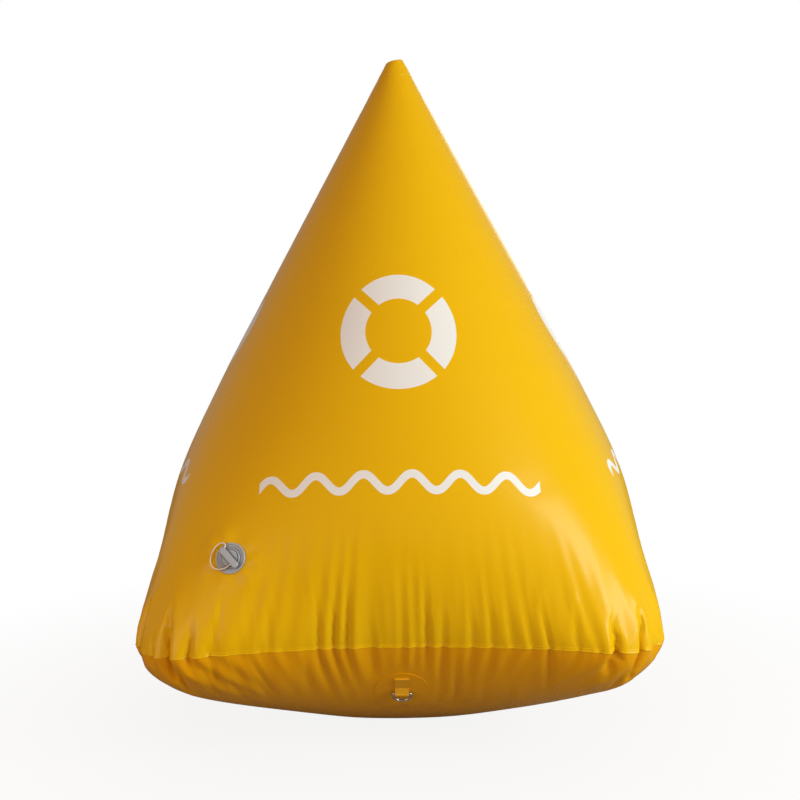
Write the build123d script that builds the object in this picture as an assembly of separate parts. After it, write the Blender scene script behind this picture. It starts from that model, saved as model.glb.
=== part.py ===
from build123d import *
import os
from math import cos, pi, radians, sin, sqrt, tan

# A four-sided inflatable marker buoy, standing on its base as it parks on a floor.
# Millimetres, +Z up, origin on the floor under the middle. The side with the valve faces -Y.

# The air-filled form: level outlines of four side arcs and four corner arcs that meet smoothly.
# Columns: height, reach at the middle of a side, reach at a corner, and the turn of the outline from
# the side's middle to where its corner arc begins, in degrees, which is negative where a side is hollow
seam_row = (250, 484, 679, -13.5)
base_rows = [
    (0, 145, 145, 22.5),
    (8, 188, 190, 22),
    (25, 234, 244, 20),
    (70, 323, 377, 14),
    (130, 398, 526, 2),
    (185, 445, 640, -9),
    seam_row,
]
side_rows = [
    seam_row,
    (310, 507, 674, -7),
    (380, 521, 645, 3),
    (460, 524, 602, 12),
    (550, 508, 548, 18),
    (650, 467, 485, 21),
    (760, 412, 419, 22),
    (880, 348, 348, 22.5),
    (900, 337, 337, 22.5),
]
cone_top_height = 1446
cone_top_radius = 38.5
sheet_depth = 3.0

# The welded band between the side wrap and the base panel
seam_half_width = 7
seam_stand = 1.4

# The lap weld that closes the side wrap, down the rear corner at +X +Y
lap_width = 36
lap_stand = 1.2

# The trimmed tip: a short cone that stands proud of the wrap, cut off at a slant
tip_height = 41
tip_stand = 0.8
tip_top_radius = 17
tip_slant = 12
tip_cut_below = 3
tip_edge_round = 3

# The valve on the front side. Its pieces lie along its own axis, measured from the skin.
valve_x = -328
valve_height = 446
flange_radius = 30.5
flange_back = -2.6
flange_front = 2.6
flange_dish = 1.0
flange_lip = 3.0
neck_radius = 20
neck_front = 5.0
neck_edge_cut = 0.6
bore_radius = 17
hub_radius = 16.4
hub_front = 6.2
grip_length = 48
grip_width = 12
grip_height = 7.0
grip_edge_round = 1.2
grip_turn = -42

# The plug's tether, a loop that leans towards the skin on its far side. Columns: x, y
tether_diameter = 2.8
tether_front = 7.2
tether_lean = 0.07
tether_arc_share = 0.45
tether_route = [
    (-13, 17),
    (-11, 26),
    (-20, 29),
    (-31, 23),
    (-38, 10),
    (-41, -3),
    (-38, -15),
    (-30, -22),
    (-19, -23.5),
    (-8, -21),
    (1, -16),
    (6, -9),
]

# A tie point on each side of the base panel: patch, webbing strap and D-ring
sides = {"front": 0, "right": 90, "back": 180, "left": 270}
tie_reach = 424
tie_height = 160
tie_slope = 49
patch_radius = 55
patch_stand = 1.2
strap_width = 28
strap_thickness = 2.2
strap_end_above = 40
strap_rise = 16
bar_below = 7.5
bar_stand = 6.6
loop_radius = 5.5
loop_bore_radius = 3.0
ring_wire = 5.0
ring_inside_width = 32
ring_corner_round = 4.0
ring_lean = 6


def section(height, side_reach, corner_reach, turn, grow=0.0):
    """One level outline, grown outwards by grow."""
    side, corner_tip, lean = side_reach + grow, corner_reach + grow, radians(turn)
    share = (1 + sin(lean) - cos(lean)) / (sqrt(2) * sin(lean))
    corner_radius = (side - share * corner_tip) / (1 - share)
    centre = (corner_tip - corner_radius) / sqrt(2)
    join = (centre + corner_radius * sin(lean), -centre - corner_radius * cos(lean))
    tip = (corner_tip / sqrt(2), -corner_tip / sqrt(2))
    edges = []
    for quarter in range(4):
        turned = Rot(0, 0, 90 * quarter)
        edges.append(turned * ThreePointArc((-join[0], join[1]), (0, -side), join))
        edges.append(turned * ThreePointArc(join, tip, (-join[1], -join[0])))
    return Pos(0, 0, height) * Face(Wire(edges))


def base_form(grow=0.0):
    """The blown-up base, from the flat patch it stands on to the seam."""
    return loft([section(*row, grow=grow) for row in base_rows])


def side_form(grow=0.0):
    """The sides, from the seam to the tip cap: square with blunt corners, then a plain cone."""
    cone_row = side_rows[-1]
    top_row = (cone_top_height, cone_top_radius, cone_top_radius, cone_row[-1])
    square_part = loft([section(*row, grow=grow) for row in side_rows])
    cone_part = loft([section(*cone_row, grow=grow), section(*top_row, grow=grow)], ruled=True)
    return square_part + cone_part


def slab(low, high):
    """A wide plate of space between two heights."""
    reach = 2 * seam_row[2]
    return Pos(0, 0, (low + high) / 2) * Box(reach, reach, high - low)


def make_seam():
    """The seam band, half on the sides and half on the base."""
    height = seam_row[0]
    upper = (side_form(seam_stand) - side_form(-sheet_depth)) & slab(height, height + seam_half_width)
    lower = (base_form(seam_stand) - base_form(-sheet_depth)) & slab(height - seam_half_width, height)
    return upper + lower


def make_lap():
    """The strip down the rear corner, from the seam band to the tip cap."""
    low, high = seam_row[0] + seam_half_width, cone_top_height
    reach = seam_row[2] + 2 * lap_width
    strip = Pos(reach / 2, 0, (low + high) / 2) * Box(reach, lap_width, high - low)
    return (side_form(lap_stand) - side_form(-sheet_depth)) & (Rot(0, 0, 45) * strip)


def make_tip_cap():
    """The tip: a cone whose top is cut off at a slant and rounded over."""
    cone = Cone(cone_top_radius + tip_stand, tip_top_radius, tip_height,
                align=(Align.CENTER, Align.CENTER, Align.MIN))
    reach = 4 * cone_top_radius
    cutter = Box(reach, reach, tip_height, align=(Align.CENTER, Align.CENTER, Align.MIN))
    cap = cone - Pos(0, 0, tip_height - tip_cut_below) * Rot(0, -tip_slant, 0) * cutter
    top = cap.faces().sort_by(Axis.Z)[-1]
    return Pos(0, 0, cone_top_height) * fillet(top.edges(), tip_edge_round)


def front_skin_plane(form, x, height):
    """The plane that touches the front skin: local X to the right, local Y up, local Z outwards."""
    hits = form.find_intersection_points(Axis((x, -2 * seam_row[2], height), (0, 1, 0)))
    point, normal = min(hits, key=lambda hit: hit[0].Y)
    outward = normal if normal.Y < 0 else normal * -1
    return Plane(origin=point, x_dir=Vector(0, 0, 1).cross(outward), z_dir=outward)


def make_flange():
    """A dished washer with a raised lip, and a bore for the neck."""
    profile = Polyline(
        (neck_radius, flange_back), (flange_radius, flange_back), (flange_radius, flange_front - flange_dish),
        (flange_radius - flange_dish, flange_front), (flange_radius - flange_lip, flange_front),
        (flange_radius - flange_lip - flange_dish, flange_front - flange_dish),
        (neck_radius, flange_front - flange_dish), close=True)
    return revolve(Plane.XZ * Face(Wire(profile.edges())), Axis.Z)


def make_neck():
    """The collar that the plug screws into."""
    height = neck_front - flange_back
    ring = Cylinder(neck_radius, height) - Cylinder(bore_radius, height)
    outer_rim = ring.edges().filter_by(GeomType.CIRCLE).group_by(Axis.Z)[-1]
    return Pos(0, 0, (neck_front + flange_back) / 2) * chamfer(outer_rim, neck_edge_cut)


def make_plug():
    """A round hub with a bar grip across it, rounded at its corners and its top edges."""
    hub_height = hub_front - flange_back
    hub = Pos(0, 0, flange_back + hub_height / 2) * Cylinder(hub_radius, hub_height)
    bar = Pos(0, 0, hub_front + grip_height / 2) * Box(grip_length, grip_width, grip_height)
    bar = fillet(bar.edges().filter_by(Axis.Z), 3 * grip_edge_round)
    bar = fillet(bar.faces().sort_by(Axis.Z)[-1].edges(), grip_edge_round)
    return hub + Rot(0, 0, grip_turn) * bar


def bend_radii(points):
    """The largest arc that the two runs at each inner point leave room for."""
    radii = []
    for before, point, after in zip(points, points[1:], points[2:]):
        run_in, run_out = Vector(*point) - Vector(*before), Vector(*after) - Vector(*point)
        half_turn = radians(run_in.get_angle(run_out)) / 2
        radii.append(tether_arc_share * min(run_in.length, run_out.length) / tan(half_turn))
    return radii


def make_tether():
    """The round cord from one end of the grip to the other, made whole along its route."""
    points = [(x, y, tether_front + tether_lean * x) for x, y in tether_route]
    radii = bend_radii(points)
    print("tether bend radii", [round(radius, 1) for radius in radii])
    path = FilletPolyline(*points, radius=radii)
    tube = sweep(Plane(path @ 0, z_dir=path % 0) * Circle(tether_diameter / 2), path=path)
    print(f"tether length {path.length:.0f} volume {tube.volume:.0f}",
          f"section by length {path.length * pi * tether_diameter**2 / 4:.0f}")
    return tube


def tie_plane():
    """The front tie point: local X to the right, local Y up the panel, local Z outwards."""
    slope = radians(tie_slope)
    return Plane(origin=(0, -tie_reach, tie_height), x_dir=(1, 0, 0), z_dir=(0, -sin(slope), -cos(slope)))


def make_patch():
    """A round patch that follows the panel."""
    disc = tie_plane() * Cylinder(patch_radius, 2 * patch_radius)
    return (base_form(patch_stand) & disc) - base_form(-sheet_depth)


def make_strap():
    """A webbing tab flat on the patch that rises into a loop around the ring's bar."""
    tab_front = patch_stand + strap_thickness
    outline = Polyline(
        (strap_end_above, -sheet_depth), (strap_end_above, tab_front), (strap_rise - bar_below, tab_front),
        (-bar_below, bar_stand + loop_radius), (-bar_below, -sheet_depth), close=True)
    bar_place = Pos(-bar_below, bar_stand)
    profile = Face(Wire(outline.edges())) + bar_place * Circle(loop_radius) - bar_place * Circle(loop_bore_radius)
    strap = tie_plane() * extrude(Plane.YZ * profile, strap_width / 2, both=True)
    return strap - base_form(patch_stand)


def bar_plane():
    """The ring's own plane at rest: local X along its bar, local Y towards the bar from the ring."""
    tie = tie_plane()
    centre = tie.origin - tie.y_dir * bar_below + tie.z_dir * bar_stand
    return Plane(centre, x_dir=tie.x_dir, z_dir=tie.z_dir).rotated((-ring_lean, 0, 0))


def make_ring():
    """A D-ring of round wire: a straight bar, two small bends and a half circle."""
    half = ring_inside_width / 2 + ring_wire / 2
    bar_half = half - ring_corner_round
    bend = ring_corner_round * (1 - sqrt(0.5))
    corner_y = -ring_corner_round
    path = Wire([
        Line((-bar_half, 0), (bar_half, 0)),
        ThreePointArc((bar_half, 0), (half - bend, -bend), (half, corner_y)),
        ThreePointArc((half, corner_y), (0, corner_y - half), (-half, corner_y)),
        ThreePointArc((-half, corner_y), (-half + bend, -bend), (-bar_half, 0)),
    ])
    start = Plane(path @ 0, z_dir=path % 0)
    return bar_plane() * sweep(start * Circle(ring_wire / 2), path=path)


os.makedirs("parts", exist_ok=True)

side_wrap = side_form()
base_panel = base_form()
valve_plane = front_skin_plane(side_wrap, valve_x, valve_height)

base_seam = make_seam()
back_seam = make_lap()
valve_seat = valve_plane * Pos(0, 0, flange_back + patch_radius) * Cylinder(flange_radius, 2 * patch_radius)
side_wrap = side_wrap - base_seam - back_seam - valve_seat
base_panel = base_panel - base_seam

plug = make_plug()
pieces = {
    "base_seam": base_seam,
    "back_seam": back_seam,
    "tip_cap": make_tip_cap(),
    "valve_flange": valve_plane * make_flange(),
    "valve_neck": valve_plane * make_neck(),
    "valve_plug": valve_plane * plug,
    "valve_tether": valve_plane * (make_tether() - plug),
}

patch, strap, ring = make_patch(), make_strap(), make_ring()
for side, turn in sides.items():
    turned = Rot(0, 0, turn)
    pieces[f"patch_{side}"] = turned * patch
    pieces[f"strap_{side}"] = turned * strap
    pieces[f"ring_{side}"] = turned * ring
    base_panel = base_panel - turned * patch
pieces["side_wrap"] = side_wrap
pieces["base_panel"] = base_panel

for name, shape in pieces.items():
    export_step(shape, f"parts/{name}.step")
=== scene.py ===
import math

import bpy
import numpy as np
from mathutils import Matrix, Vector
from mathutils.bvhtree import BVHTree


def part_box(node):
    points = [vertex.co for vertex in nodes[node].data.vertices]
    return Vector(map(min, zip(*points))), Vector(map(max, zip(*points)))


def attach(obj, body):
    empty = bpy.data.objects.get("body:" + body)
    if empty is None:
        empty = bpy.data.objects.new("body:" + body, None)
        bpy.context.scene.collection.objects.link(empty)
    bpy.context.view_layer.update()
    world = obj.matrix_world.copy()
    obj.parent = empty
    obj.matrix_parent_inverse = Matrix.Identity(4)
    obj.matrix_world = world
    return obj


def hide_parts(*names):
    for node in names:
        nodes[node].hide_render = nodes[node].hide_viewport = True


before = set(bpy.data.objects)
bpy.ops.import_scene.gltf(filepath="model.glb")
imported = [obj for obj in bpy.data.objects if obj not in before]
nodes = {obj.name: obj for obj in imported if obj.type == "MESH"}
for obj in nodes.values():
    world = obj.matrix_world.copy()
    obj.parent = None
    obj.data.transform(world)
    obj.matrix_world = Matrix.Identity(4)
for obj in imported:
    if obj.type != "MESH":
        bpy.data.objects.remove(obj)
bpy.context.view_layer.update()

# An inflatable marker buoy: printed coated fabric blown tight, a plugged valve, and a ring on each side.

sides = ["front", "right", "back", "left"]
tiny = 1e-9                    # keeps a division or a logarithm off zero
print("frame loaded with", len(nodes), "nodes")


# Camera

photoView = {
    "sensor": 36.0,
    "lens": 51.7,
    "distance": 2.68,          # metres in front of the middle of the buoy
    "height": 0.936,
    "lookDown": 0.085,         # radians
    "roll": 0.012,
    "shiftX": -0.00375,
}


def makeCamera():
    data = bpy.data.cameras.new("photoView")
    data.sensor_width = photoView["sensor"]
    data.lens = photoView["lens"]
    data.shift_x = photoView["shiftX"]
    camera = bpy.data.objects.new("photoView", data)
    bpy.context.scene.collection.objects.link(camera)
    place = Matrix.Translation((0, -photoView["distance"], photoView["height"]))
    tilt = Matrix.Rotation(math.pi / 2 - photoView["lookDown"], 4, "X")
    camera.matrix_world = Matrix.Rotation(photoView["roll"], 4, "Y") @ place @ tilt
    bpy.context.scene.camera = camera


makeCamera()
print("camera placed")


# Shader maths: a Socket takes + - * / with numbers and other sockets

class Socket:
    def __init__(self, shader, socket):
        self.shader, self.socket = shader, socket

    def __add__(self, other):
        return self.shader.maths("ADD", self, other)

    def __sub__(self, other):
        return self.shader.maths("SUBTRACT", self, other)

    def __rsub__(self, other):
        return self.shader.maths("SUBTRACT", other, self)

    def __mul__(self, other):
        return self.shader.maths("MULTIPLY", self, other)

    def __truediv__(self, other):
        return self.shader.maths("DIVIDE", self, other)

    __radd__ = __add__
    __rmul__ = __mul__


class Shader:
    def __init__(self, owner):                 # a material or a world
        owner.use_nodes = True
        self.owner, self.tree = owner, owner.node_tree
        self.tree.nodes.clear()

    def node(self, kind, settings=None, values=None):
        made = self.tree.nodes.new(kind)
        for key, value in (settings or {}).items():
            setattr(made, key, value)
        for key, value in (values or {}).items():
            if isinstance(value, Socket):
                self.tree.links.new(value.socket, made.inputs[key])
            else:
                made.inputs[key].default_value = value
        return made

    def out(self, made, key=0):
        return Socket(self, made.outputs[key])

    def maths(self, operation, *terms):
        return self.out(self.node("ShaderNodeMath", {"operation": operation}, dict(enumerate(terms))))

    def clamp(self, value):
        return self.out(self.node("ShaderNodeClamp", {}, {"Value": value}))

    def mix(self, factor, first, second):      # 0, 6 and 7 are the colour kind's factor, A and B
        made = self.node("ShaderNodeMix", {"data_type": "RGBA"}, {0: factor, 6: first, 7: second})
        return self.out(made, 2)

    def noise(self, place, scale, detail=3.0):
        values = {"Vector": place, "Scale": scale, "Detail": detail}
        return self.out(self.node("ShaderNodeTexNoise", {}, values))

    def place(self):
        return self.out(self.node("ShaderNodeTexCoord"), "Object")

    def surface(self, values):
        made = self.node("ShaderNodeBsdfPrincipled", {}, values)
        self.node("ShaderNodeOutputMaterial", {}, {"Surface": self.out(made)})
        return self.owner

    def bump(self, height, strength, distance):
        values = {"Height": height, "Strength": strength, "Distance": distance}
        return self.out(self.node("ShaderNodeBump", {}, values), "Normal")


# Coated fabric

fabric = {
    "yellow": (0.85, 0.55, 0.0008, 1),
    "deepYellow": (0.81, 0.50, 0.0006, 1),
    "shadedBaseOrange": (0.82, 0.42, 0.0006, 1),     # painted shade: the base panel is a deeper orange, which stands in for the shade under the buoy
    "shadedDeepOrange": (0.78, 0.37, 0.0005, 1),
    "ink": (0.85, 0.95, 1.0, 1),
    "inkRoughness": 0.12,      # how much duller the ink is
    "cloudScale": 2.6,         # of the slow change from one shade to the other
    "roughness": 0.27,
    "patchiness": 0.06,        # how far the roughness wanders
    "grain": 0.00005,          # height of the fine grain, in metres
    "grainScale": 420.0,
    "grainRoughness": 0.05,
    "ripple": 0.0009,          # height of the slow unevenness
    "rippleScale": 9.0,
    "ior": 1.4,
    "gloss": 0.32,
}

printed = {                    # a plain life ring over a wave, laid out on each flat side, in metres
    "ringUp": 0.655,           # from the foot of the side to the middle of the ring
    "ringOuter": 0.128,
    "ringInner": 0.072,
    "ringGap": 0.011,          # half the gap between two quarters of the ring
    "waveUp": 0.338,
    "waveHalfLength": 0.300,
    "waveLength": 0.100,
    "waveRise": 0.0165,
    "waveStroke": 0.0085,
    "softEdge": 0.0006,
}

cut = {                        # the sheet as it is cut flat, in metres
    "side": 1.15,              # the foot of each side
    "slant": 1.38,             # from the middle of a foot to the point
    "cornerRound": 0.184,
    "stretch": 1.012,          # what the air pressure adds
}


def printMask(shader):
    flat = shader.node("ShaderNodeUVMap", {"uv_map": "flat"})
    parts = shader.node("ShaderNodeSeparateXYZ", {}, {0: shader.out(flat)})
    around, up = shader.out(parts, 0), shader.out(parts, 1)
    across = shader.maths("FRACT", around) * 2 - 1
    x = across * (1 - up) * (cut["side"] / 2)
    y = up * cut["slant"]

    def inside(edge):
        return shader.clamp(edge / printed["softEdge"])

    ringY = y - printed["ringUp"]
    radius = shader.maths("SQRT", x * x + ringY * ringY)
    ring = inside(printed["ringOuter"] - radius) * inside(radius - printed["ringInner"])
    for slanted in (x + ringY, x - ringY):
        ring = ring * inside(shader.maths("ABSOLUTE", slanted) / math.sqrt(2) - printed["ringGap"])
    turn = x * (2 * math.pi / printed["waveLength"])
    steepest = printed["waveRise"] * 2 * math.pi / printed["waveLength"]
    slope = shader.maths("COSINE", turn) * steepest
    middle = shader.maths("SINE", turn) * printed["waveRise"]
    off = shader.maths("ABSOLUTE", y - printed["waveUp"] - middle)
    away = off / shader.maths("SQRT", slope * slope + 1)
    toEnd = printed["waveHalfLength"] - shader.maths("ABSOLUTE", x)
    wave = inside(printed["waveStroke"] - away) * inside(toEnd)
    return shader.maths("MAXIMUM", ring, wave)


def makeFabric(name, light, deep, withPrint=False):
    shader = Shader(bpy.data.materials.new(name))
    place = shader.place()
    slow = shader.noise(place, fabric["cloudScale"])
    grain = shader.noise(place, fabric["grainScale"], detail=2.0)
    ripple = shader.noise(place, fabric["rippleScale"], detail=1.0)
    colour = shader.mix(slow, fabric[light], fabric[deep])
    wandering = (slow - 0.5) * fabric["patchiness"]
    roughness = fabric["roughness"] + wandering + (grain - 0.5) * fabric["grainRoughness"]
    height = grain * fabric["grain"] + ripple * fabric["ripple"]
    normal = shader.bump(height, strength=1.0, distance=1.0)
    if withPrint:
        mask = printMask(shader)
        colour = shader.mix(mask, colour, fabric["ink"])
        roughness = roughness + mask * fabric["inkRoughness"]
    return shader.surface({
        "Base Color": colour,
        "Roughness": roughness,
        "Normal": normal,
        "IOR": fabric["ior"],
        "Specular IOR Level": fabric["gloss"],
    })


printedFabric = makeFabric("printedFabric", "yellow", "deepYellow", withPrint=True)
plainFabric = makeFabric("plainFabric", "yellow", "deepYellow")
# painted shade: the base fabric's deeper orange stands in for the shade that falls under the buoy
shadedBaseFabric = makeFabric("shadedBaseFabric", "shadedBaseOrange", "shadedDeepOrange")
print("fabric mixed")


# The form that the air gives, read from the frame: its reach at each height and bearing

form = {
    "bearings": 25,            # from the middle of a side to its corner
    "levels": 71,
    "crowding": 1.3,           # above 1, the levels lie closer by the seam
    "baseSteps": 41,
    "coneFrom": 0.25,          # metres below the cap, between which the cone's slope is read
    "coneTo": 0.01,
    "far": 2.0,                # where the rays that read the form start
}


def treeOf(names):
    verts, faces = [], []
    for name in names:
        mesh = nodes[name].data
        first = len(verts)
        verts += [vert.co.copy() for vert in mesh.vertices]
        faces += [[first + index for index in face.vertices] for face in mesh.polygons]
    return BVHTree.FromPolygons(verts, faces)


shellTree = treeOf(["side_wrap", "base_panel", "base_seam", "back_seam", "tip_cap", "valve_flange",
                    *[f"patch_{side}" for side in sides]])
seamHeight = (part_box("base_seam")[0].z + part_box("base_seam")[1].z) / 2
capLow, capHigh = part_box("tip_cap")[0].z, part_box("tip_cap")[1].z
baseCentre = Vector((0, 0, seamHeight))


def reachFrom(centre, direction):
    hit = shellTree.ray_cast(centre + direction * form["far"], -direction)[0]
    return (hit - centre).length


def forwardReach(height):
    return reachFrom(Vector((0, 0, height)), Vector((0, -1, 0)))


def readForm():
    bearing = np.linspace(0, math.pi / 4, form["bearings"])
    lowCone, highCone = capLow - form["coneFrom"], capLow - form["coneTo"]
    highReach = forwardReach(highCone)
    fall = (forwardReach(lowCone) - highReach) / (highCone - lowCone)
    point = highCone + highReach / fall
    level = seamHeight + (point - seamHeight) * np.linspace(0, 1, form["levels"]) ** form["crowding"]
    reach = np.zeros((len(bearing), len(level)))
    drop = np.linspace(0, math.pi / 2, form["baseSteps"])
    depth = np.zeros((len(bearing), len(drop)))
    for i, turn in enumerate(bearing):
        sine, cosine = math.sin(turn), math.cos(turn)
        for k, height in enumerate(level):
            if height > highCone:
                reach[i, k] = (point - height) * fall
            else:
                reach[i, k] = reachFrom(Vector((0, 0, height)), Vector((sine, -cosine, 0)))
        for k, angle in enumerate(drop):
            flatShare = math.cos(angle)
            way = Vector((sine * flatShare, -cosine * flatShare, -math.sin(angle)))
            depth[i, k] = reachFrom(baseCentre, way)
    return bearing, level, reach, drop, depth


bearing, level, reach, drop, depth = readForm()
pointHeight = level[-1]
print("form read, the sides meet at", round(pointHeight, 3))


def cellOf(known, wanted):
    last = len(known) - 1.001                  # just short of the last one, so that a next one is there
    place = np.clip(np.interp(wanted, known, np.arange(len(known))), 0, last)
    cell = place.astype(int)
    return cell, place - cell


def gridLookup(table, rowValues, columnValues, rows, columns):
    i, rowShare = cellOf(rowValues, rows)
    k, columnShare = cellOf(columnValues, columns)
    low = table[i, k] * (1 - columnShare) + table[i, k + 1] * columnShare
    high = table[i + 1, k] * (1 - columnShare) + table[i + 1, k + 1] * columnShare
    return low * (1 - rowShare) + high * rowShare


# The net of points: rings round the sheet, close together by the seam and wider apart away from it.
# around runs from 0 to 4, one for each side, and up is the share of the way from the foot to the point.

net = {                        # in metres
    "edge": 0.0068,            # by the seam
    "fineOnSide": 0.21,        # how far from the seam the net stays as fine
    "fineOnBase": 0.13,
    "growth": 0.07,
    "coarse": 0.020,
    "ringGap": 0.9,            # from one ring to the next, as a share of the edge
    "fewest": 40,              # points in the smallest rings
}

half = cut["side"] / 2
straight = cut["side"] - 2 * cut["cornerRound"]
cornerArc = math.pi * cut["cornerRound"] / 2
footLength = 4 * (straight + cornerArc)
rise = math.sqrt(cut["slant"] ** 2 - half ** 2)


def footLine(around):          # a square with round corners
    side = np.floor(around).astype(int) % 4
    along = (around - np.floor(around)) * (straight + cornerArc)
    radius = cut["cornerRound"]
    before, after = along < cornerArc / 2, along > cornerArc / 2 + straight
    x, y = -half + radius + along - cornerArc / 2, np.full_like(along, -half)
    angle = math.pi * 1.25 + along / radius
    x = np.where(before, -half + radius + radius * np.cos(angle), x)
    y = np.where(before, -half + radius + radius * np.sin(angle), y)
    angle = math.pi * 1.5 + (along - cornerArc / 2 - straight) / radius
    x = np.where(after, half - radius + radius * np.cos(angle), x)
    y = np.where(after, -half + radius + radius * np.sin(angle), y)
    cosine, sine = np.array([1, 0, -1, 0])[side], np.array([0, 1, 0, -1])[side]
    return cosine * x - sine * y, sine * x + cosine * y


def edgeAt(place, fine):
    return min(net["edge"] + max(0.0, place - fine) * net["growth"], net["coarse"])


def makeRings(total, fine):
    places = [0.0]
    while places[-1] < total:
        places.append(places[-1] + edgeAt(places[-1], fine) * net["ringGap"])
    places = np.array(places) * total / places[-1]
    rings = []
    for index, place in enumerate(places[:-1]):
        count = max(net["fewest"], round(footLength * (1 - place / total) / edgeAt(place, fine)))
        rings.append((place / total, (np.arange(count) + 0.5 * (index % 2)) * 4 / count))
    return rings


def runsOf(around):            # how far round each point of a ring lies from the first one
    return np.concatenate([[0], np.cumsum(np.diff(np.append(around, around[0])) % 4)])


def zipRings(lower, lowerAround, upper, upperAround):
    count, upperCount = len(lower), len(upper)
    if upperCount == 1:
        return [(lower[i], lower[(i + 1) % count], upper[0]) for i in range(count)]
    gaps = (upperAround - lowerAround[0] + 2) % 4 - 2
    first = int(np.argmin(np.abs(gaps)))
    upperRun = gaps[first] + runsOf(np.roll(upperAround, -first))
    lowerRun = runsOf(lowerAround)
    faces, i, k = [], 0, 0
    while i < count or k < upperCount:
        stepLower = lowerRun[i + 1] if i < count else math.inf
        stepUpper = upperRun[k + 1] if k < upperCount else math.inf
        here, there = lower[i % count], upper[(first + k) % upperCount]
        if stepLower <= stepUpper:
            faces.append((here, lower[(i + 1) % count], there))
            i += 1
        else:
            faces.append((here, upper[(first + k + 1) % upperCount], there))
            k += 1
    return faces


def outlineShare(radii):       # the share of the way from the middle of a side to its corner
    x, y = radii * np.sin(bearing), radii * np.cos(bearing)
    length = np.concatenate([[0], np.cumsum(np.hypot(np.diff(x), np.diff(y)))])
    return length / length[-1] if length[-1] > 0 else bearing / bearing[-1]


def runUp(out, height):
    steps = np.hypot(np.diff(out, axis=1), np.diff(height, axis=1))
    return np.concatenate([np.zeros((len(out), 1)), np.cumsum(steps, axis=1)], axis=1)


sideUp = np.broadcast_to(level, reach.shape)
sideRun = runUp(reach, sideUp)
baseOut, baseUp = depth * np.cos(drop), seamHeight - depth * np.sin(drop)
baseRun = runUp(baseOut, baseUp)


def onForm(up, around, onSide):
    side = np.floor(around)
    across = (around - side) * 2 - 1
    if onSide:
        where = np.interp(up * sideRun[0, -1], sideRun[0], np.arange(len(level)))
        step = min(int(where), len(level) - 2)
        lower, upper = outlineShare(reach[:, step]), outlineShare(reach[:, step + 1])
        share = lower * (step + 1 - where) + upper * (where - step)
        runs, outs, heights = sideRun, reach, sideUp
    else:
        share = outlineShare(reach[:, 0]) * (1 - up) + bearing / bearing[-1] * up
        runs, outs, heights = baseRun, baseOut, baseUp
    turn = np.interp(np.abs(across), share, bearing)
    out = [np.interp(up * run[-1], run, row) for run, row in zip(runs, outs)]
    height = [np.interp(up * run[-1], run, row) for run, row in zip(runs, heights)]
    r, z = np.interp(turn, bearing, out), np.interp(turn, bearing, height)
    angle = np.sign(across) * turn + side * math.pi / 2
    return np.stack([r * np.sin(angle), -r * np.cos(angle), z], axis=1)


def onPattern(up, around, onSide):
    x, y = footLine(around)
    z = np.full_like(x, seamHeight + (rise * up if onSide else 0))
    return np.stack([x * (1 - up), y * (1 - up), z], axis=1)


sideRings = makeRings(cut["slant"], net["fineOnSide"])
baseRings = makeRings(half, net["fineOnBase"])
baseRings[0] = sideRings[0]


# Creases: the foot of the sheet is longer than the seam that the air leaves it, so it gathers.
# The cloth takes up these first ripples and settles them.

crease = {
    "seed": 7,
    "pitch": 0.041,
    "height": 0.0040,
    "deepened": 0.38,          # share of the creases that is added once the air is in
    "sideReach": 0.165,
    "baseReach": 0.080,
    "fadePower": 1.6,
    "cornerCalm": 0.8,         # near a corner there are a few large folds in place of many creases
    "calmFrom": 0.60,          # shares of the way from the middle of a side to its corner
    "calmTo": 0.85,
    "waves": range(3, 36),     # of the unevenness, counted round the buoy
    "wander": 1.5,
    "unevenness": 0.17,
}

dip = {                        # beside each strong fold, in heights and widths of that fold
    "depth": 0.75,
    "place": 1.9,
    "width": 1.3,
}

# Strong folds that cross the seam. Columns: around, then in metres height and width, the lean upwards,
# and in metres the reach up and the reach down
folds = [
    (0.418, 0.0075, 0.012, 0.03, 0.14, 0.10),
    (0.022, 0.0080, 0.014, -0.10, 0.07, 0.06),
    (0.082, 0.0150, 0.017, -0.33, 0.07, 0.09),
    (0.130, 0.0110, 0.015, -0.36, 0.06, 0.09),
    (0.182, 0.0065, 0.013, -0.02, 0.13, 0.04),
    (0.520, 0.0050, 0.011, 0.06, 0.05, 0.08),
    (0.876, 0.0150, 0.017, 0.27, 0.11, 0.08),
    (0.948, 0.0105, 0.014, 0.30, 0.05, 0.05),
    (1.070, 0.0070, 0.014, -0.08, 0.08, 0.07),
    (1.620, 0.0055, 0.011, 0.04, 0.12, 0.08),
    (1.900, 0.0080, 0.014, 0.12, 0.09, 0.07),
    (2.090, 0.0070, 0.014, -0.10, 0.08, 0.07),
    (2.460, 0.0055, 0.011, -0.04, 0.12, 0.08),
    (2.930, 0.0075, 0.014, 0.10, 0.08, 0.07),
    (3.080, 0.0070, 0.013, -0.08, 0.08, 0.07),
    (3.560, 0.0055, 0.011, 0.04, 0.12, 0.08),
    (3.915, 0.0080, 0.014, 0.10, 0.09, 0.07),
]


def smoothStep(values, low, high):
    share = np.clip((values - low) / (high - low), 0, 1)
    return share * share * (3 - 2 * share)


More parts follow.
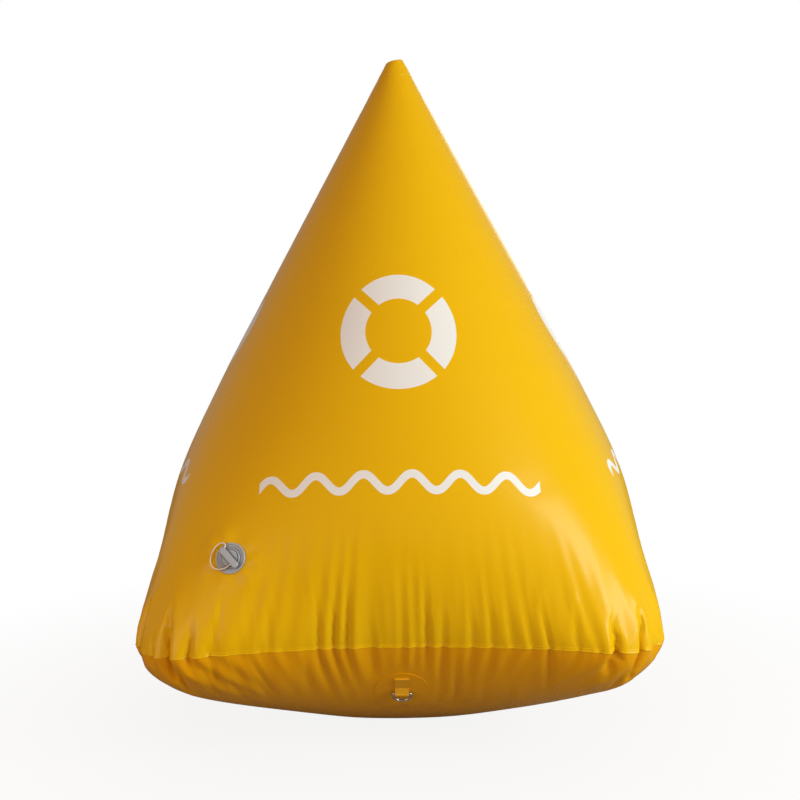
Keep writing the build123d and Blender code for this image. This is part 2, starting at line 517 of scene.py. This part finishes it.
def creaseHeight(around, away, onSide):
    rng = np.random.default_rng(crease["seed"])
    turn = around * math.pi / 2
    drift, swell = np.zeros_like(turn), np.ones_like(turn)
    for wave in crease["waves"]:
        drift += rng.normal() / math.sqrt(wave) * np.sin(wave * turn + rng.uniform(0, 2 * math.pi))
        swell += rng.normal() * crease["unevenness"] * np.sin(wave * turn + rng.uniform(0, 2 * math.pi))
    count = round(footLength / crease["pitch"])
    fadeReach = crease["sideReach"] if onSide else crease["baseReach"]
    fade = math.exp(-(away / fadeReach) ** crease["fadePower"])
    across = np.abs((around % 1) * 2 - 1)
    calm = 1 - crease["cornerCalm"] * smoothStep(across, crease["calmFrom"], crease["calmTo"])
    height = crease["height"] * swell * np.cos(count * turn + crease["wander"] * drift) * fade * calm
    for place, tall, wide, lean, reachUp, reachDown in folds:
        shift = (around - place + 2) % 4 - 2
        x = shift * footLength / 4 - lean * (away if onSide else -away)
        hollow = np.exp(-((x - dip["place"] * wide) / (dip["width"] * wide)) ** 2)
        fold = np.exp(-(x / wide) ** 2) - dip["depth"] * hollow
        height += tall * fold * math.exp(-(away / (reachUp if onSide else reachDown)) ** 2)
    return height


def outward(block):
    way = block.copy()
    way[:, 2] = np.minimum(way[:, 2] - seamHeight, 0)
    return way / np.maximum(np.linalg.norm(way, axis=1), tiny)[:, None]


netRings, flatPoints, startPoints = [], [], []


def addRing(up, around, onSide, total):
    first = sum(len(block) for block in flatPoints)
    flatPoints.append(onPattern(up, around, onSide))
    start = onForm(up, around, onSide)
    start += outward(start) * creaseHeight(around, up * total, onSide)[:, None]
    startPoints.append(start)
    ids = np.arange(first, first + len(around))
    place = up * total if onSide else -up * total              # metres up from the seam, along the sheet
    netRings.append({"ids": ids, "around": around, "place": place, "onSide": onSide})
    return ids


def addSheet(rings, onSide, total, seamIds=None):
    ids = []
    for index, (up, around) in enumerate(rings):
        known = seamIds is not None and index == 0
        ids.append(seamIds if known else addRing(up, around, onSide, total))
    ids.append(addRing(1.0, np.zeros(1), onSide, total))
    arounds = [around for _, around in rings] + [np.zeros(1)]
    faces = []
    for lower, lowerAround, upper, upperAround in zip(ids, arounds, ids[1:], arounds[1:]):
        faces += zipRings(lower, lowerAround, upper, upperAround)
    return ids[0], faces


seamIds, sideFaces = addSheet(sideRings, True, cut["slant"])
_, baseFaces = addSheet(baseRings, False, half, seamIds)
baseFaces = [(a, c, b) for a, b, c in baseFaces]               # so that they face out
flatPoints, startPoints = np.concatenate(flatPoints), np.concatenate(startPoints)
ringsUpwards = sorted(netRings, key=lambda ring: ring["place"])
ringPlaces = np.array([ring["place"] for ring in ringsUpwards])
print("net of", len(flatPoints), "points,", len(sideFaces), "faces on the sides and",
      len(baseFaces), "on the base")


# Blow it up: cloth that is cut as the flat pattern, starts near the form and is pushed out by the air

air = {
    "pressure": 300.0,
    "mass": 0.01,
    "tension": 200.0,
    "compression": 22.0,
    "bending": 0.05,
    "steps": 6,
    "frames": 8,
}


def inflate():
    mesh = bpy.data.meshes.new("inflating")
    mesh.from_pydata((flatPoints * cut["stretch"]).tolist(), [], sideFaces + baseFaces)
    piece = bpy.data.objects.new("inflating", mesh)
    bpy.context.scene.collection.objects.link(piece)
    piece.shape_key_add(name="pattern")
    start = piece.shape_key_add(name="start")
    start.data.foreach_set("co", startPoints.ravel().astype(np.float32))
    for value, time in ((1, 1), (0, 2)):       # after the first frame the pattern sets the cloth's size
        start.value = value
        start.keyframe_insert("value", frame=time)
    cloth = piece.modifiers.new("cloth", "CLOTH")
    settings = cloth.settings
    settings.use_dynamic_mesh = True
    settings.quality = air["steps"]
    settings.mass = air["mass"]
    settings.tension_stiffness = settings.shear_stiffness = air["tension"]
    settings.compression_stiffness = air["compression"]
    settings.bending_stiffness = air["bending"]
    settings.use_pressure = True
    settings.uniform_pressure_force = air["pressure"]
    settings.effector_weights.gravity = 0
    cloth.collision_settings.use_collision = False
    cloth.collision_settings.use_self_collision = False
    cloth.point_cache.frame_start, cloth.point_cache.frame_end = 1, air["frames"] + 1
    for time in range(1, air["frames"] + 1):
        bpy.context.scene.frame_set(time)
    shape = piece.evaluated_get(bpy.context.evaluated_depsgraph_get()).data
    settled = np.zeros(len(flatPoints) * 3, np.float32)
    shape.vertices.foreach_get("co", settled)
    bpy.context.scene.frame_set(1)
    bpy.data.objects.remove(piece)
    bpy.data.meshes.remove(mesh)
    return settled.reshape(-1, 3).astype(float)


points = inflate()
print("inflated")


# Ease the whole onto the frame's form, keeping the creases: only the slow part of the gap is taken out

ease = {                       # in metres
    "columns": 512,            # places round the buoy where the gap is read
    "spread": 0.05,            # round the sheet, and up and down it
    "crest": 0.004,            # lets the crests of the folds, not their middle, meet the form
    "seamRise": 0.017,         # the seam runs a little above the widest line
    "cornerSag": 0.014,        # and hangs lower at a corner
    "sagPower": 5,
    "seamReach": 0.22,
    "floorGap": 0.0015,        # a point at the floor is lifted by half of this
}

fullness = {                   # how the sheet stands out from the form, in metres
    "bySeam": 0.004,           # at the low corners
    "onBase": 0.009,
    "frontLeft": 0.007,        # how much more at the front left one
    "thinBase": 0.004,         # the base is a little flatter below the middle of each side
    "band": 0.07,
    "baseBelow": 0.10,         # from the seam down to the middle of the base's band
    "floorBand": 0.06,
    "frontLeftFrom": 0.5,      # metres to the left and front together
    "frontLeftTo": 0.8,
    "cornerFrom": 0.15,        # radians from the middle of a side
    "cornerTo": 0.7,
    "middleFrom": 0.08,
    "middleTo": 0.55,
}

columnPlaces = np.arange(ease["columns"]) * 4 / ease["columns"]


def foldBearing(x, y):         # radians from the middle of the nearest side
    quarter = math.pi / 2
    turn = np.arctan2(x, -y)
    return np.abs((turn + quarter / 2) % quarter - quarter / 2)


def fuller(x, y, z):
    turn = foldBearing(x, y)
    atCorner = smoothStep(turn, fullness["cornerFrom"], fullness["cornerTo"])
    bySeam = np.exp(-((z - seamHeight) / fullness["band"]) ** 2)
    onBase = np.exp(-((z - seamHeight + fullness["baseBelow"]) / fullness["band"]) ** 2)
    frontLeft = smoothStep(-x - y, fullness["frontLeftFrom"], fullness["frontLeftTo"]) * (bySeam + onBase)
    spread = atCorner * (fullness["bySeam"] * bySeam + fullness["onBase"] * onBase)
    atMiddle = 1 - smoothStep(turn, fullness["middleFrom"], fullness["middleTo"])
    nearFloor = np.exp(-((z - fullness["floorBand"]) / fullness["floorBand"]) ** 2)
    return spread + atCorner * frontLeft * fullness["frontLeft"] - atMiddle * nearFloor * fullness["thinBase"]


def gapToForm(block):
    x, y, z = block.T
    r, below = np.hypot(x, y), np.maximum(seamHeight - z, 0)
    turn = foldBearing(x, y)
    gapAbove = r - gridLookup(reach, bearing, level, turn, z)
    gapBelow = np.hypot(r, below) - gridLookup(depth, bearing, drop, turn, np.arctan2(below, r))
    return np.where(below > 0, gapBelow, gapAbove) - fuller(x, y, z)


def slowPart(values):          # of values that are read at the columns
    columns = np.arange(ease["columns"])
    away = np.minimum(columns, ease["columns"] - columns) * footLength / ease["columns"]
    blur = np.exp(-(away / ease["spread"]) ** 2)
    return np.fft.irfft(np.fft.rfft(values) * np.fft.rfft(blur / blur.sum()), ease["columns"])


def levelSeam():
    seamRing = next(ring for ring in netRings if ring["place"] == 0)
    height = np.interp(columnPlaces, seamRing["around"], points[seamRing["ids"], 2], period=4)
    across = np.abs((columnPlaces % 1) * 2 - 1)
    gap = slowPart(height - seamHeight - ease["seamRise"] + ease["cornerSag"] * across ** ease["sagPower"])
    for ring in netRings:
        fade = math.exp(-(ring["place"] / ease["seamReach"]) ** 2)
        points[ring["ids"], 2] -= np.interp(ring["around"], columnPlaces, gap, period=4) * fade


def deepenCreases():
    for ring in netRings:
        ids = ring["ids"]
        height = creaseHeight(ring["around"], abs(ring["place"]), ring["onSide"]) * crease["deepened"]
        points[ids] += outward(points[ids]) * height[:, None]


def easeOntoForm():
    gaps = []
    for ring in ringsUpwards:
        gap = np.interp(columnPlaces, ring["around"], gapToForm(points[ring["ids"]]), period=4)
        crests = slowPart(np.exp(gap / ease["crest"]))
        gaps.append(ease["crest"] * np.log(np.maximum(crests, tiny)))
    gaps = np.array(gaps)
    width = np.gradient(ringPlaces)
    for ring in ringsUpwards:
        ids = ring["ids"]
        weight = np.exp(-((ringPlaces - ring["place"]) / ease["spread"]) ** 2) * width
        smooth = (weight[:, None] * gaps).sum(0) / weight.sum()
        shift = np.interp(ring["around"], columnPlaces, smooth, period=4)
        points[ids] -= outward(points[ids]) * shift[:, None]
    points[:, 2] = 0.5 * (points[:, 2] + np.sqrt(points[:, 2] ** 2 + ease["floorGap"] ** 2))


levelSeam()
deepenCreases()
easeOntoForm()
print("seam levelled, creases deepened, sheet eased onto the form")


# The sheet lies flat under the valve's flange and under each round patch

seat = {                       # in metres
    "flangeInner": 0.031,
    "flangeOuter": 0.085,
    "flangeEdge": 0.004,
    "flangeNear": 0.06,        # how far off its plane the sheet is still drawn to it
    "underFlange": -0.0012,
    "puckers": 7,              # small dents that run out from the flange
    "puckerDepth": 0.0011,
    "puckerPlace": 0.046,
    "puckerWidth": 0.013,
    "puckerSway": 1.3,         # how far they wander from even places, in radians of their wave
    "puckerTurn": 0.6,
    "patchInner": 0.057,
    "patchOuter": 0.095,
    "patchEdge": 0.002,
    "patchNear": 0.08,
    "underPatch": 0.0012,
    "rayStart": 0.1,
}


def planeOf(name, outwards):
    verts = np.array([vert.co[:] for vert in nodes[name].data.vertices])
    middle = verts.mean(0)
    normal = np.linalg.svd(verts - middle, full_matrices=False)[2][2]
    return verts, middle, normal * np.sign(normal @ outwards)


def aboutPlane(centre, normal):
    offset = points - centre
    height = offset @ normal
    return offset, height, np.linalg.norm(offset - height[:, None] * normal, axis=1)


def seatValve():
    verts, middle, normal = planeOf("valve_flange", (0, -1, 0))
    thickness = (verts - middle) @ normal
    centre = middle + normal * (thickness.min() + thickness.max()) / 2
    offset, height, radius = aboutPlane(centre, normal)
    near = (radius < seat["flangeOuter"]) & (np.abs(height) < seat["flangeNear"])
    keep = smoothStep(radius, seat["flangeInner"], seat["flangeOuter"])
    beyond = smoothStep(radius, seat["flangeInner"] - seat["flangeEdge"], seat["flangeInner"])
    sunk = seat["underFlange"] * (1 - beyond)
    right = np.cross((0, 0, 1), normal)
    angle = np.arctan2(offset[:, 2], offset @ right)
    ring = np.exp(-((radius - seat["puckerPlace"]) / seat["puckerWidth"]) ** 2)
    sway = np.cos(seat["puckers"] * angle + seat["puckerSway"] * np.sin(2 * angle + seat["puckerTurn"]))
    target = height * keep + sunk + seat["puckerDepth"] * ring * sway
    points[near] += ((target - height)[:, None] * normal)[near]


def seatPatch(side):
    low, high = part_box(f"patch_{side}")
    _, centre, normal = planeOf(f"patch_{side}", (low.x + high.x, low.y + high.y, 0))
    _, height, radius = aboutPlane(centre, normal)
    near = np.nonzero((radius < seat["patchOuter"]) & (np.abs(height) < seat["patchNear"]))[0]
    keep = smoothStep(radius, seat["patchInner"], seat["patchOuter"])
    way = Vector(normal)
    for index in near:
        start = Vector(points[index]) + way * seat["rayStart"]
        hit = shellTree.ray_cast(start, -way)[0]
        under = seat["underPatch"] if radius[index] < seat["patchInner"] - seat["patchEdge"] else 0.0
        target = np.array(hit) - normal * under
        points[index] = target * (1 - keep[index]) + points[index] * keep[index]


seatValve()
for side in sides:
    seatPatch(side)
print("sheet seated under the valve and the patches")


# Pieces

def addPiece(name, verts, faces, material, smooth=True):
    mesh = bpy.data.meshes.new(name)
    mesh.from_pydata(np.asarray(verts).tolist(), [], faces)
    mesh.materials.append(material)
    if smooth:
        mesh.polygons.foreach_set("use_smooth", [True] * len(faces))
    mesh.update()
    piece = bpy.data.objects.new(name, mesh)
    bpy.context.scene.collection.objects.link(piece)
    return piece


aroundOf, upOf = np.zeros(len(points)), np.zeros(len(points))
for ring in netRings:
    aroundOf[ring["ids"]] = ring["around"]
    upOf[ring["ids"]] = ring["place"] / (cut["slant"] if ring["onSide"] else half)


def addSkin(name, faces, material):
    corners = np.array(faces)
    used = np.unique(corners)
    renumber = np.full(len(points), -1)
    renumber[used] = np.arange(len(used))
    piece = addPiece(name, points[used], renumber[corners].tolist(), material)
    around, up = aroundOf[corners], upOf[corners]
    lowest = np.where(up >= 1, np.inf, around).min(axis=1)                     # the point has no bearing
    around = np.where(around - lowest[:, None] > 2, around - 4, around)        # where the count starts again
    layer = piece.data.uv_layers.new(name="flat")
    layer.data.foreach_set("uv", np.stack([around, np.abs(up)], axis=2).ravel().astype(np.float32))
    return piece


capCover = 0.006               # metres of the sheet that go up under the cap
sideArray = np.array(sideFaces)
keptFaces = sideArray[points[sideArray][:, :, 2].min(axis=1) < capLow + capCover].tolist()
sideSkin = addSkin("sideSkin", keptFaces, printedFabric)
baseSkin = addSkin("baseSkin", baseFaces, shadedBaseFabric)
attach(sideSkin, "buoy")
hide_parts("side_wrap")
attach(baseSkin, "buoy")
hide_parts("base_panel")
print("skins made")


# Strips that follow the sheet: the welded seam and the lap down the rear corner

def sheetAt(around, place):
    k = int(np.clip(np.searchsorted(ringPlaces, place) - 1, 0, len(ringPlaces) - 2))
    share = (place - ringPlaces[k]) / (ringPlaces[k + 1] - ringPlaces[k])
    blocks = []
    for ring in ringsUpwards[k:k + 2]:
        block, known = points[ring["ids"]], ring["around"]
        columns = [np.interp(around, known, block[:, axis], period=4) for axis in range(3)]
        blocks.append(np.stack(columns, axis=1))
    return blocks[0] * (1 - share) + blocks[1] * share


def gridNormals(grid, wrapped):
    ends = (np.roll(grid, -1, 0) - np.roll(grid, 1, 0)) if wrapped else np.gradient(grid, axis=0)
    normals = np.cross(ends, np.gradient(grid, axis=1))
    return normals / np.maximum(np.linalg.norm(normals, axis=2), tiny)[:, :, None]


def gridFaces(rows, columns, wrapped):
    faces = []
    for i in range(rows if wrapped else rows - 1):
        for k in range(columns - 1):
            j = (i + 1) % rows
            faces.append((i * columns + k, j * columns + k, j * columns + k + 1, i * columns + k + 1))
    return faces


seamStrip = {
    "columns": 1400,
    # place above the seam and height over the sheet, in millimetres: a fine bead, then a flat lap
    "profile": [(-2.2, -0.8), (-1.6, 0.3), (-1.0, 0.8), (-0.3, 1.15), (0.4, 1.1), (0.9, 0.75),
                (1.5, 0.4), (4.0, 0.35), (6.4, 0.35), (7.0, 0.2), (7.4, -0.6)],
    "normalReach": 0.012,      # metres each way from the seam, between which its normal is read
}


def makeSeamStrip():
    around = np.arange(seamStrip["columns"]) * 4 / seamStrip["columns"]
    places, heights = np.array(seamStrip["profile"]).T / 1000
    grid = np.stack([sheetAt(around, place) for place in places], axis=1)
    across = seamStrip["normalReach"]
    band = np.stack([sheetAt(around, place) for place in (-across, 0, across)], axis=1)
    normals = gridNormals(band, True)[:, 1]
    verts = grid + normals[:, None, :] * heights[None, :, None]
    strip = addPiece("seamStrip", verts.reshape(-1, 3), gridFaces(*grid.shape[:2], True), plainFabric)
    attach(strip, "buoy")
    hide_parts("base_seam")


backLap = {                    # in metres
    "around": 2.0,             # the corner of the right side and the back
    "width": 0.036,
    "rows": 240,
    "start": 0.0078,           # up the sheet, above the seam's own lap
    "underCap": 0.001,
    "height": 0.0009,
    "edge": 0.0008,
    "shoulder": 0.6,           # shares of the height
    "crown": 1.1,
}


def makeBackLap():
    upShare = (capLow + backLap["underCap"] - seamHeight) / (pointHeight - seamHeight)
    places = np.linspace(backLap["start"], cut["slant"] * upShare, backLap["rows"])
    wide, edge, tall = backLap["width"] / 2, backLap["edge"], backLap["height"]
    shoulder, crown = tall * backLap["shoulder"], tall * backLap["crown"]
    profile = [(-wide, -tall), (-wide, shoulder), (-wide + edge, tall), (-wide / 3, crown),
               (wide / 3, crown), (wide - edge, tall), (wide, shoulder), (wide, -tall)]
    across, heights = np.array(profile).T
    rows = []
    for place in places:
        length = footLength * (1 - place / cut["slant"])
        rows.append(sheetAt(backLap["around"] + across * 4 / length, place))
    grid = np.stack(rows, axis=0)
    verts = grid - gridNormals(grid, False) * heights[None, :, None]
    lap = addPiece("backLap", verts.reshape(-1, 3), gridFaces(*grid.shape[:2], False), plainFabric)
    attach(lap, "buoy")
    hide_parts("back_seam")


makeSeamStrip()
makeBackLap()
print("seam and lap made")


# The tip: the cone's end, welded on, trimmed at a slant and rounded over

tip = {                        # in metres
    "columns": 96,
    "rowsUp": 14,
    "rowsRound": 7,
    "rowsTop": 6,
    "slopeFrom": 0.2,          # below the cap, between which the cone's slope is read
    "slopeTo": 0.1,
    "footUp": 0.0005,
    "tuckIn": 0.0006,          # the edge of the foot turns in and down
    "tuckDown": 0.0004,
    "stand": 0.0003,
    "slant": math.radians(12),
    "trimBelow": 0.003,
    "round": 0.0035,
    "crown": 0.0012,
    "dents": 0.0005,
    "dentTurns": 3,
    "dentTwist": 40,           # radians for each metre up
    "dentHeight": 0.036,
    "calmMiddle": 0.004,       # no dents nearer to the middle than this
}


def makeTip():
    foot, flatTop = capLow + tip["footUp"], capHigh - tip["trimBelow"]
    lean = math.tan(tip["slant"])
    fall = forwardReach(capLow - tip["slopeFrom"]) - forwardReach(capLow - tip["slopeTo"])
    fall /= tip["slopeFrom"] - tip["slopeTo"]
    turn = np.arange(tip["columns"]) * 2 * math.pi / tip["columns"]

    def topAt(near):
        return flatTop + lean * near * np.cos(turn)

    rimReach = ((pointHeight - flatTop) * fall + tip["stand"]) / (1 + lean * fall * np.cos(turn))
    rimHeight = topAt(rimReach)
    footReach = (pointHeight - foot) * fall + tip["stand"]
    rows = [(np.full_like(turn, footReach - tip["tuckIn"]), np.full_like(turn, foot - tip["tuckDown"]))]
    slopeLength = np.hypot(footReach - rimReach, rimHeight - foot)
    for share in np.linspace(0, 1, tip["rowsUp"]):
        along = share * (1 - tip["round"] / slopeLength)
        rows.append((footReach + (rimReach - footReach) * along, foot + (rimHeight - foot) * along))
    startReach, startHeight = rows[-1]
    endReach = rimReach - tip["round"]
    endHeight = topAt(endReach)
    for share in np.linspace(0, 1, tip["rowsRound"] + 2)[1:]:
        a, b, c = (1 - share) ** 2, 2 * share * (1 - share), share ** 2
        rows.append((a * startReach + b * rimReach + c * endReach,
                     a * startHeight + b * rimHeight + c * endHeight))
    for share in np.linspace(0, 1, tip["rowsTop"] + 1)[1:]:
        near = endReach * (1 - share)
        rows.append((near, topAt(near) + tip["crown"] * math.sin(share * math.pi / 2)))
    reachRows, heightRows = np.array(rows).transpose(1, 0, 2)
    upShare = np.clip((heightRows - foot) / tip["dentHeight"], 0, 1)
    dent = np.sin(tip["dentTurns"] * turn + tip["dentTwist"] * heightRows) * np.sin(math.pi * upShare)
    reachRows = reachRows + tip["dents"] * dent * (reachRows > tip["calmMiddle"])
    verts = np.stack([reachRows * np.cos(turn), reachRows * np.sin(turn), heightRows], axis=2)
    verts = verts.transpose(1, 0, 2)
    piece = addPiece("tipPiece", verts.reshape(-1, 3), gridFaces(*verts.shape[:2], True), plainFabric)
    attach(piece, "buoy")
    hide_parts("tip_cap")


makeTip()
print("tip made")


# Finishes for the hardware, whose nodes are kept from the frame

def shaded(colour, share):
    return tuple(value * share for value in colour[:3]) + (1,)


valvePlastic = {
    "grey": (0.42, 0.51, 0.60, 1),
    "paler": 1.12,
    "dark": (0.07, 0.08, 0.10, 1),             # painted shade, darkest in the corners and grooves
    "shadeReach": 0.006,
    "shadeSamples": 8,
    "cloudScale": 60.0,
    "grainScale": 1800.0,
    "roughness": 0.26,
    "roughnessChange": 0.12,
    "bump": 0.3,
    "bumpHeight": 0.0001,
}


def makeValvePlastic():
    shader = Shader(bpy.data.materials.new("valvePlastic"))
    place = shader.place()
    cloud = shader.noise(place, valvePlastic["cloudScale"])
    grain = shader.noise(place, valvePlastic["grainScale"], detail=2.0)
    # painted shade: ambient occlusion darkens the grey towards the dark colour in corners, grooves and
    # between parts
    settings, values = {"samples": valvePlastic["shadeSamples"]}, {"Distance": valvePlastic["shadeReach"]}
    unshadedShare = shader.out(shader.node("ShaderNodeAmbientOcclusion", settings, values), "AO")
    grey = shader.mix(cloud, valvePlastic["grey"], shaded(valvePlastic["grey"], valvePlastic["paler"]))
    return shader.surface({
        "Base Color": shader.mix(unshadedShare * unshadedShare, valvePlastic["dark"], grey),
        "Roughness": valvePlastic["roughness"] + grain * valvePlastic["roughnessChange"],
        "Normal": shader.bump(grain, valvePlastic["bump"], valvePlastic["bumpHeight"]),
    })


creamCord = {
    "cream": (0.95, 0.90, 0.70, 1),
    "darker": 0.85,
    "cloudScale": 140.0,
    "roughness": 0.38,
    "roughnessChange": 0.1,
    "bump": 0.2,
    "bumpHeight": 0.0002,
}


def makeCreamCord():
    shader = Shader(bpy.data.materials.new("creamCord"))
    cloud = shader.noise(shader.place(), creamCord["cloudScale"])
    darker = shaded(creamCord["cream"], creamCord["darker"])
    return shader.surface({
        "Base Color": shader.mix(cloud, creamCord["cream"], darker),
        "Roughness": creamCord["roughness"] + cloud * creamCord["roughnessChange"],
        "Normal": shader.bump(cloud, creamCord["bump"], creamCord["bumpHeight"]),
    })


webbing = {
    "yellow": (0.84, 0.45, 0.003, 1),
    "darker": 0.85,
    "ribs": 2600.0,            # radians for each metre across
    "rows": 3300.0,            # and up
    "roughness": 0.62,
    "roughnessChange": 0.1,
    "bump": 0.7,
    "bumpHeight": 0.0003,
}


def makeWebbing():
    shader = Shader(bpy.data.materials.new("webbing"))
    parts = shader.node("ShaderNodeSeparateXYZ", {}, {0: shader.place()})
    ribs = shader.maths("SINE", (shader.out(parts, 0) + shader.out(parts, 1)) * webbing["ribs"])
    rows = shader.maths("SINE", shader.out(parts, 2) * webbing["rows"])
    weave = ribs * rows * 0.5 + 0.5
    darker = shaded(webbing["yellow"], webbing["darker"])
    return shader.surface({
        "Base Color": shader.mix(weave, darker, webbing["yellow"]),
        "Roughness": webbing["roughness"] + weave * webbing["roughnessChange"],
        "Normal": shader.bump(weave, webbing["bump"], webbing["bumpHeight"]),
    })


steel = {
    "pale": (0.62, 0.62, 0.62, 1),
    "dark": (0.52, 0.52, 0.53, 1),
    "cloudScale": 90.0,
    "grainScale": 2400.0,
    "roughness": 0.16,
    "roughnessChange": 0.12,
    "bump": 0.12,
    "bumpHeight": 0.00005,
}


def makeSteel():
    shader = Shader(bpy.data.materials.new("steel"))
    place = shader.place()
    cloud = shader.noise(place, steel["cloudScale"])
    grain = shader.noise(place, steel["grainScale"], detail=2.0)
    return shader.surface({
        "Base Color": shader.mix(cloud, steel["pale"], steel["dark"]),
        "Roughness": steel["roughness"] + cloud * steel["roughnessChange"],
        "Metallic": 1.0,
        "Normal": shader.bump(grain, steel["bump"], steel["bumpHeight"]),
    })


finishes = {                   # by the first word of a node's name
    "valve": makeValvePlastic(),
    "tether": makeCreamCord(),
    "strap": makeWebbing(),
    "ring": makeSteel(),
    "patch": shadedBaseFabric,
    "tip": plainFabric,
    "base": shadedBaseFabric,
    "back": plainFabric,
    "side": printedFabric,
}
for name, node in nodes.items():
    kind = "tether" if name == "valve_tether" else name.split("_")[0]
    node.data.materials.clear()
    node.data.materials.append(finishes[kind])
print("finishes given")


# Floor, light and background

studio = {
    "white": (1, 1, 1, 1),
    "light": (1.0, 0.56, 0.40, 1),             # what comes from all round, in a warm shade
    "lightStrength": 0.40,
    "lightChange": 0.32,       # how much brighter it is on one side
    "brighterTowards": (0.2, -0.95, -0.2),
    "whiteTo": {               # how white the surroundings look to other kinds of ray
        "Is Glossy Ray": 0.3,
        "Is Transmission Ray": 1.0,
        "Is Camera Ray": 1.0,
    },
    "floorSize": 30.0,
    "floorDrop": 0.0005,
    "floorColour": (0.8, 0.8, 0.8, 1),
    "floorBounce": (0.32, 0.32, 0.32, 1),      # the floor's colour in the light that it sends back
    "shadow": 0.12,            # how much of the floor's shade the camera sees
    "shadowFrom": 0.5,         # the shade fades out between these distances from the middle
    "shadowTo": 1.5,
    "aim": (0, 0, 0.7),
    # place, width and height in metres, power in watts, colour
    "lamps": {
        "right": ((2.9, -1.9, 1.5), (1.5, 2.2), 94.0, (0.93, 1.0, 0.92)),
        "left": ((-2.5, -2.3, 0.75), (2.2, 1.4), 22.0, (1.0, 0.84, 0.68)),
        "back": ((0.4, 3.4, 1.8), (2.4, 2.0), 30.0, (1.0, 0.97, 0.90)),
    },
}


def makeFloor():
    shader = Shader(bpy.data.materials.new("paleFloor"))
    ray = shader.node("ShaderNodeLightPath")
    white = shader.node("ShaderNodeEmission", {}, {"Color": studio["white"], "Strength": 1.0})
    pale = shader.node("ShaderNodeBsdfDiffuse", {}, {"Color": studio["floorColour"]})
    dull = shader.node("ShaderNodeBsdfDiffuse", {}, {"Color": studio["floorBounce"]})
    parts = shader.node("ShaderNodeSeparateXYZ", {}, {0: shader.place()})
    x, y = shader.out(parts, 0), shader.out(parts, 1)
    away = shader.maths("SQRT", x * x + y * y) - studio["shadowFrom"]
    far = shader.clamp(away / (studio["shadowTo"] - studio["shadowFrom"]))
    whiteness = 1 - (1 - far) * studio["shadow"]
    values = {0: whiteness, 1: shader.out(pale), 2: shader.out(white)}
    seen = shader.node("ShaderNodeMixShader", {}, values)
    inView = shader.maths("MAXIMUM", shader.out(ray, "Is Camera Ray"), shader.out(ray, "Is Transmission Ray"))
    mixed = shader.node("ShaderNodeMixShader", {}, {0: inView, 1: shader.out(dull), 2: shader.out(seen)})
    shader.node("ShaderNodeOutputMaterial", {}, {"Surface": shader.out(mixed)})
    size = studio["floorSize"] / 2
    verts = [(-size, -size, 0), (size, -size, 0), (size, size, 0), (-size, size, 0)]
    floor = addPiece("floor", verts, [(0, 1, 2, 3)], shader.owner, smooth=False)
    floor.location.z = -studio["floorDrop"]


def makeWorld():
    world = bpy.data.worlds.new("studio")
    bpy.context.scene.world = world
    shader = Shader(world)
    ray = shader.node("ShaderNodeLightPath")
    way = shader.out(shader.node("ShaderNodeTexCoord"), "Generated")
    towards = Vector(studio["brighterTowards"]).normalized()
    turned = shader.node("ShaderNodeVectorMath", {"operation": "DOT_PRODUCT"}, {0: way, 1: towards})
    strength = shader.out(turned, "Value") * studio["lightChange"] + studio["lightStrength"]
    last = shader.node("ShaderNodeBackground", {}, {"Color": studio["light"], "Strength": strength})
    for kind, whiteness in studio["whiteTo"].items():
        white = shader.node("ShaderNodeBackground", {}, {"Color": studio["white"], "Strength": whiteness})
        values = {0: shader.out(ray, kind), 1: shader.out(last), 2: shader.out(white)}
        last = shader.node("ShaderNodeMixShader", {}, values)
    shader.node("ShaderNodeOutputWorld", {}, {"Surface": shader.out(last)})


def makeLamp(name, place, size, power, colour):
    data = bpy.data.lights.new(name, "AREA")
    data.shape = "RECTANGLE"
    data.size, data.size_y = size
    data.energy = power
    data.color = colour
    lamp = bpy.data.objects.new(name, data)
    bpy.context.scene.collection.objects.link(lamp)
    lamp.location = place
    lamp.rotation_euler = (Vector(studio["aim"]) - Vector(place)).to_track_quat("-Z", "Y").to_euler()


makeFloor()
makeWorld()
for name, lamp in studio["lamps"].items():
    makeLamp(name, *lamp)
bpy.context.scene.view_settings.view_transform = "Standard"
print("studio set")
